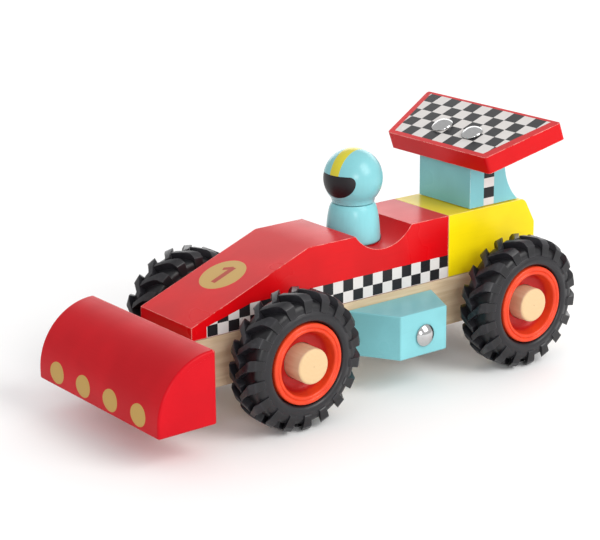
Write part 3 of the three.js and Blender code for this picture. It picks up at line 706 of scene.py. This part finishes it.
def plastic(name, colour, dark, rough=0.42, offset=0.0):
    """Plain moulded plastic with a fine spark-eroded texture."""
    shader = Shader(name)
    texture = shader.noise(0.3, EVEN, 2.0, offset)
    cloud = shader.noise(6, EVEN, 2.0, offset + 3)
    edge = shader.edges(0.5)
    base = shader.mix(shader.ramp(cloud, 0.3, 0.7), colour, dark)
    shader.set(
        Base_Color=shader.mix(shader.mul(edge, 0.3), base, tuple(min(1, 1.4 * c + 0.03) for c in colour)),
        Roughness=shader.ramp(cloud, 0.3, 0.7, rough, rough + 0.1),
        Normal=shader.bump(texture, 0.03),
    )
    return shader.material


# ---------------------------------------------------------------- blocks

BOARD_WOOD = natural_wood("board_wood", (1, 0, 0))
POD_PAINT = plain_paint("pod_blue", BLUE, BLUE_WORN, offset=160.0)
COVER_PAINT = plain_paint("cover_yellow", YELLOW, YELLOW_WORN, offset=190.0)

eased_block("chassis", BOARD_WOOD, width=0.45)
eased_block("front_body", front_body_paint())
eased_block("engine_cover", COVER_PAINT)
eased_block("wing_strut", strut_paint())
eased_block("rear_wing", wing_paint(), width=0.7)
eased_block("nose_block", nose_paint(), width=1.1, segments=4, clamp=False)
for side, _ in SIDES:
    eased_block(f"side_pod_{side}", POD_PAINT, width=0.6)

# ---------------------------------------------------------------- nails

NAIL = {"radius": 4.85, "dome": 2.2, "rim": 0.5, "shank": 1.2, "length": 22.0, "point": 3.0}
NAIL_STEEL = steel("nail_steel", (0.56, 0.56, 0.56), 0.08)


def nail_mesh():
    """A domed nail, its dome's top at the origin and its point towards -Y."""
    sphere = (NAIL["radius"] ** 2 + NAIL["dome"] ** 2) / (2 * NAIL["dome"])
    half_angle = math.degrees(math.asin(NAIL["radius"] / sphere))
    underside = -NAIL["dome"] - NAIL["rim"]
    profile = [
        (0, underside - NAIL["length"]), (NAIL["shank"], underside - NAIL["length"] + NAIL["point"]),
        (NAIL["shank"], underside), (NAIL["radius"] - 0.15, underside), (NAIL["radius"], underside + 0.15),
        (NAIL["radius"], -NAIL["dome"] - 0.12),
        *arc((0, -sphere), sphere, 90 - half_angle + 1.2, 90, 14),
    ]
    profile[-1] = (0, 0)
    return mesh_from(lathe(profile, 48), "nail")


def nail_top(node, outward):
    """The highest point of a CAD nail along its own axis."""
    return max((vertex.co for vertex in frame["nodes"][node].data.vertices), key=lambda co: co.dot(outward))


def place_nail(node, outward):
    turn = Vector((0, 1, 0)).rotation_difference(outward)
    place = Matrix.Translation(nail_top(node, outward)) @ turn.to_matrix().to_4x4()
    new_piece(f"{node}_domed", nail_mesh(), NAIL_STEEL, "car_body", [node], place)


for side, sign in SIDES:
    place_nail(f"pod_nail_{side}", Vector((0, sign, 0)))
    place_nail(f"wing_nail_{side}", Vector((math.sin(WING_TILT), 0, math.cos(WING_TILT))))

# ---------------------------------------------------------------- driver

STAND = Matrix.Translation(Vector((BALL.x, 0, 0)) * MM) @ Matrix.Rotation(math.pi / 2, 4, "X")
PIN_HOLE = {"radius": 3.3, "top": 80.3}


def driver_body():
    """A turned peg that narrows to the neck, drilled for the pin. Heights are Y until it is stood up."""
    base = DRIVER_LOW.z
    outside = smooth_through([
        (11.6, base + 1.6), (11.42, 63.2), (11.1, 67.0), (10.5, 71.0), (9.75, 73.6), (8.95, 74.95),
    ], 6)
    profile = [
        (PIN_HOLE["radius"], CREASE_Z - 0.3), (PIN_HOLE["radius"], base), (10.6, base),
        *arc((10.6, base + 1.0), 1.0, -80, -10, 4), *outside, (8.5, CREASE_Z - 0.3),
    ]
    return mesh_from(lathe(profile, 96, closed=True), "driver_body")


def driver_head():
    """A turned ball on a short neck, drilled from below for the pin."""
    start = -math.degrees(math.acos(9.35 / BALL_RADIUS))
    profile = [
        (0, PIN_HOLE["top"]), (PIN_HOLE["radius"], PIN_HOLE["top"]), (PIN_HOLE["radius"], CREASE_Z),
        (8.7, CREASE_Z), (8.95, CREASE_Z + 0.15),
        *arc((0, BALL.z), BALL_RADIUS, start, 90, 40),
    ]
    profile[-1] = (0, BALL.z + BALL_RADIUS)
    return mesh_from(lathe(profile, 96), "driver_head")


def stood_up(mesh):
    """Turns a lathe's Y axis up and puts it at the seat, so that the mesh holds its own place."""
    mesh.transform(STAND)
    return mesh


DRIVER_PAINT = plain_paint("driver_blue", BLUE, BLUE_WORN, (0, 0, 1), 220.0, 0.2)
new_piece(
    "driver_body_turned", stood_up(driver_body()), DRIVER_PAINT, "car_body", ["driver_body"],
)
new_piece(
    "driver_head_turned", stood_up(driver_head()), head_paint(), "car_body", ["driver_head"],
)

# ---------------------------------------------------------------- wheels

# Half of the tyre's section from the middle of the tread to the bead, lugs left out.
TREAD_FLOOR = [(25.4, 0.0), (25.3, 3.6), (25.0, 5.8), (24.3, 7.1), (23.0, 7.8), (21.8, 8.0)]
SIDEWALL = [(21.2, 8.2), (20.5, 8.5), (19.5, 8.78), (18.6, 8.72), (17.8, 8.3), (17.25, 7.5)]
BORE_R = 17.0

# Stations of a lug, from its inner end by the middle of the tread to its foot on the sidewall:
# top y, top radius, base y, base radius, offset round the tyre, half width.
LUG_STATIONS = [
    (-1.2, 28.6, -1.0, 24.6, -6.9, 1.45),
    (2.0, 28.6, 2.0, 24.5, -4.0, 1.55),
    (4.6, 28.55, 4.5, 24.2, -1.8, 1.80),
    (5.6, 28.3, 5.4, 23.9, -1.0, 2.25),
    (6.4, 27.9, 6.0, 23.5, -0.5, 2.42),
    (8.0, 26.3, 6.6, 22.4, 0.0, 2.48),
    (8.75, 21.6, 7.2, 20.2, 0.0, 2.42),
]
LUG_DRAFT = 0.94                          # a lug's top is this share of its foot's width


def add_lug(bm, side, turn):
    rings = []
    for top_y, top_r, base_y, base_r, offset, half in LUG_STATIONS:
        ring = []
        for y, radius, reach in (
            (base_y, base_r, -half), (base_y, base_r, half),
            (top_y, top_r, half * LUG_DRAFT), (top_y, top_r, -half * LUG_DRAFT),
        ):
            angle = (offset + reach) / TYRE_R + turn
            ring.append(bm.verts.new((
                radius * math.cos(angle) * MM, y * side * MM, radius * math.sin(angle) * MM,
            )))
        rings.append(ring)
    faces = [bm.faces.new(rings[0]), bm.faces.new(rings[-1])]
    for here, there in zip(rings, rings[1:]):
        for j in range(4):
            k = (j + 1) % 4
            faces.append(bm.faces.new((here[j], here[k], there[k], there[j])))
    bmesh.ops.recalc_face_normals(bm, faces=faces)


def tyre_mesh(turn):
    """The carcass and its lugs, the two sides half a pitch apart, joined into one skin."""
    floor = smooth_through(TREAD_FLOOR, 4)
    wall = smooth_through(SIDEWALL, 4)
    half = [*floor, *wall, (BORE_R, 6.6)]
    other_half = [(r, -y) for r, y in reversed(half[1:])]
    whole = lathe([*other_half, *half], 152, closed=True)
    ring = bpy.data.objects.new("carcass", mesh_from(whole, "carcass"))
    bm = bmesh.new()
    pitch = 2 * math.pi / LUGS_PER_SIDE
    for i in range(LUGS_PER_SIDE):
        add_lug(bm, 1, -math.pi / 2 + turn + i * pitch)
        add_lug(bm, -1, -math.pi / 2 + turn + (i + 0.5) * pitch)
    ease_edges(bm, 0.25, 2, past=24)
    lugs = bpy.data.objects.new("lugs", mesh_from(bm, "lugs"))
    for part in (ring, lugs):
        bpy.context.scene.collection.objects.link(part)
    union = ring.modifiers.new("lugs", "BOOLEAN")
    union.operation = "UNION"
    union.solver = "MANIFOLD"
    union.object = lugs
    joined = ring.evaluated_get(bpy.context.evaluated_depsgraph_get())
    mesh = bpy.data.meshes.new_from_object(joined)
    mesh.name = "tyre"
    for part in (ring, lugs):
        data = part.data
        bpy.data.objects.remove(part)
        bpy.data.meshes.remove(data)
    bm = bmesh.new()
    bm.from_mesh(mesh)
    bmesh.ops.remove_doubles(bm, verts=bm.verts, dist=0.01 * MM)
    bpy.data.meshes.remove(mesh)
    return mesh_from(bm, "tyre", 32)


def rim_mesh():
    """The rim: a rounded lip, a thin groove, a rounded inner band and a deep dish. Outside is +Y."""
    profile = [
        (7.6, -7.0), (9.4, -7.0), (9.4, 0.5), (15.2, 0.5), (15.2, RIM_BACK), (16.7, RIM_BACK), (16.7, 7.7),
        (16.62, 8.2), (16.35, 8.52), (15.9, 8.68), (15.35, 8.7), (15.05, 8.6), (14.92, 8.36), (14.78, 8.28),
        (14.64, 8.36), (14.5, 8.58), (14.2, 8.7), (13.8, 8.66), (13.45, 8.45), (13.2, 8.1), (13.05, 7.5),
        (12.95, 6.4), (12.7, 5.2), (12.25, 4.2), (11.5, 3.3), (10.5, 2.75), (9.4, 2.52), (7.6, 2.5),
    ]
    return mesh_from(lathe(profile, 128, closed=True), "rim", 50)


def hub_dowel_ends(end):
    """Where a hub dowel starts and stops along Y, from the middle of its wheel."""
    return [corner.y - WHEEL_Y[end] for corner in box_mm(f"{end}_hub_dowel_left")]


def hub_dowel_mesh(end):
    """A wooden dowel with a blind hole for the axle. Its sawn end is at +Y."""
    inner, outer = hub_dowel_ends(end)
    radius, edge = 7.35, 1.1
    hole_radius, depth = 1.75, 24
    profile = [
        (0, inner + depth), (hole_radius, inner + depth), (hole_radius, inner), (radius - 0.3, inner),
        (radius, inner + 0.3), (radius, outer - edge), *arc((radius - edge, outer - edge), edge, 12, 84, 6),
        (radius - edge - 0.5, outer), (radius * 0.6, outer + 0.03), (0, outer + 0.05),
    ]
    return mesh_from(lathe(profile, 96), "hub_dowel", 40)


RUBBER = rubber()
RIM_PLASTIC = rim_plastic()
for end in ENDS:
    body = f"{end}_wheels"
    meshes = {"tyre": tyre_mesh(LUG_TURN[end]), "rim": rim_mesh(), "hub_dowel": hub_dowel_mesh(end)}
    for side, sign in SIDES:
        centre = Matrix.Translation(Vector((AXLE_X[end], sign * WHEEL_Y[end], AXLE_Z)) * MM)
        outward = Matrix.Identity(4) if sign > 0 else Matrix.Rotation(math.pi, 4, "Z")
        wood = dowel_wood(
            f"{end}_hub_dowel_{side}_wood", hub_dowel_ends(end)[1], 10.0 * ENDS.index(end) + 4.0 * sign,
        )
        for kind, suffix, material, slot, place in (
            ("tyre", "moulded", RUBBER, "tyre", centre),
            ("rim", "moulded", RIM_PLASTIC, "rim_plastic", centre @ outward),
            ("hub_dowel", "turned", wood, "natural_wood", centre @ outward),
        ):
            node = f"{end}_{kind}_{side}"
            piece = new_piece(f"{node}_{suffix}", meshes[kind].copy(), material, body, [node], place)
            if kind != "hub_dowel":
                weight_normals(piece)
    for mesh in meshes.values():
        bpy.data.meshes.remove(mesh)

# ---------------------------------------------------------------- motor, axles and inner pieces

CASE_PLASTIC = plastic("case_black", (0.032, 0.034, 0.038), (0.022, 0.023, 0.026), offset=250.0)
NYLON = plastic("nylon_white", (0.78, 0.77, 0.73), (0.70, 0.69, 0.64), 0.38, 260.0)
ROD_STEEL = steel("rod_steel", (0.60, 0.59, 0.58), 0.2, (0, 1, 0), 270.0)
SCREW_STEEL = steel("screw_steel", (0.55, 0.54, 0.52), 0.26, (0, 0, 1), 280.0)
PIN_WOOD = natural_wood("pin_wood", (0, 0, 1), 290.0)
KEPT_NODES = {
    "natural_wood": PIN_WOOD, "steel": ROD_STEEL, "nylon": NYLON, "case_plastic": CASE_PLASTIC,
}

for side, _ in SIDES:
    eased_block(f"motor_case_{side}", CASE_PLASTIC, width=0.35, segments=2)
    eased_block(f"front_axle_bush_{side}", NYLON, width=0.12, segments=2)
for which in ENDS:
    eased_block(f"motor_screw_{which}", SCREW_STEEL, width=0.2, segments=2)

slots = {part["node"]: part["material_slot"] for part in frame["record"]["subparts"]}
replaced = {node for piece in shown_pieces() if "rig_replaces" in piece for node in piece["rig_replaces"]}
for node, piece in frame["nodes"].items():
    if node not in replaced:
        piece.data.materials.clear()
        piece.data.materials.append(KEPT_NODES[slots[node]])

# ---------------------------------------------------------------- floor, light and camera


def make_floor():
    bm = bmesh.new()
    bmesh.ops.create_circle(bm, cap_ends=True, segments=96, radius=7.0)
    mesh = bpy.data.meshes.new("floor")
    bm.to_mesh(mesh)
    bm.free()
    floor = bpy.data.objects.new("floor", mesh)
    bpy.context.scene.collection.objects.link(floor)
    shader = Shader("floor_white")
    cloud = shader.noise(160, EVEN, 2.0)
    shader.set(
        Base_Color=shader.mix(shader.ramp(cloud, 0.3, 0.7), (0.96, 0.96, 0.96), (0.94, 0.94, 0.945)),
        Roughness=shader.ramp(cloud, 0.3, 0.7, 0.7, 0.8),
    )
    floor.data.materials.append(shader.material)


def softbox(name, direction, distance, size, power, colour=(1, 1, 1)):
    """A rectangular light that looks at the car from the given direction."""
    light = bpy.data.lights.new(name, "AREA")
    light.shape = "RECTANGLE"
    light.size, light.size_y = size
    light.energy = power
    light.color = colour
    lamp = bpy.data.objects.new(name, light)
    bpy.context.scene.collection.objects.link(lamp)
    way = Vector(direction).normalized()
    lamp.location = TARGET + way * distance
    lamp.rotation_mode = "QUATERNION"
    lamp.rotation_quaternion = way.to_track_quat("Z", "Y")
    lamp.visible_camera = False


TARGET = Vector((0.0085, 0, 0.0504))
CAMERA = {"azimuth": 142.43, "elevation": 17.14, "distance": 0.7916, "roll": -0.48, "lens": 114.03}


def make_camera():
    azimuth, elevation = math.radians(CAMERA["azimuth"]), math.radians(CAMERA["elevation"])
    back = Vector((
        math.sin(azimuth) * math.cos(elevation),
        -math.cos(azimuth) * math.cos(elevation),
        math.sin(elevation),
    ))
    camera = bpy.data.objects.new("camera", bpy.data.cameras.new("camera"))
    bpy.context.scene.collection.objects.link(camera)
    camera.data.lens = CAMERA["lens"]
    camera.data.sensor_width = 36
    camera.data.clip_start, camera.data.clip_end = 0.01, 30
    camera.location = TARGET + back * CAMERA["distance"]
    camera.rotation_mode = "QUATERNION"
    roll = Quaternion((0, 0, 1), math.radians(CAMERA["roll"]))
    camera.rotation_quaternion = (-back).to_track_quat("-Z", "Y") @ roll
    bpy.context.scene.camera = camera


def make_world():
    world = bpy.data.worlds.new("studio")
    bpy.context.scene.world = world
    world.use_nodes = True
    background = world.node_tree.nodes["Background"]
    background.inputs["Color"].default_value = (1.0, 1.0, 1.0, 1)
    background.inputs["Strength"].default_value = 0.71


make_floor()
make_camera()
make_world()
softbox("key", (-0.30, 0.74, 0.60), 1.2, (0.62, 0.80), 8.5, (1.0, 0.985, 0.965))
softbox("front_fill", (0.42, 0.86, 0.28), 1.4, (0.35, 0.35), 5.0)
softbox("backdrop", (-0.70, -0.66, 0.30), 1.6, (2.2, 0.9), 10.0)
bpy.context.scene.view_settings.view_transform = "Standard"
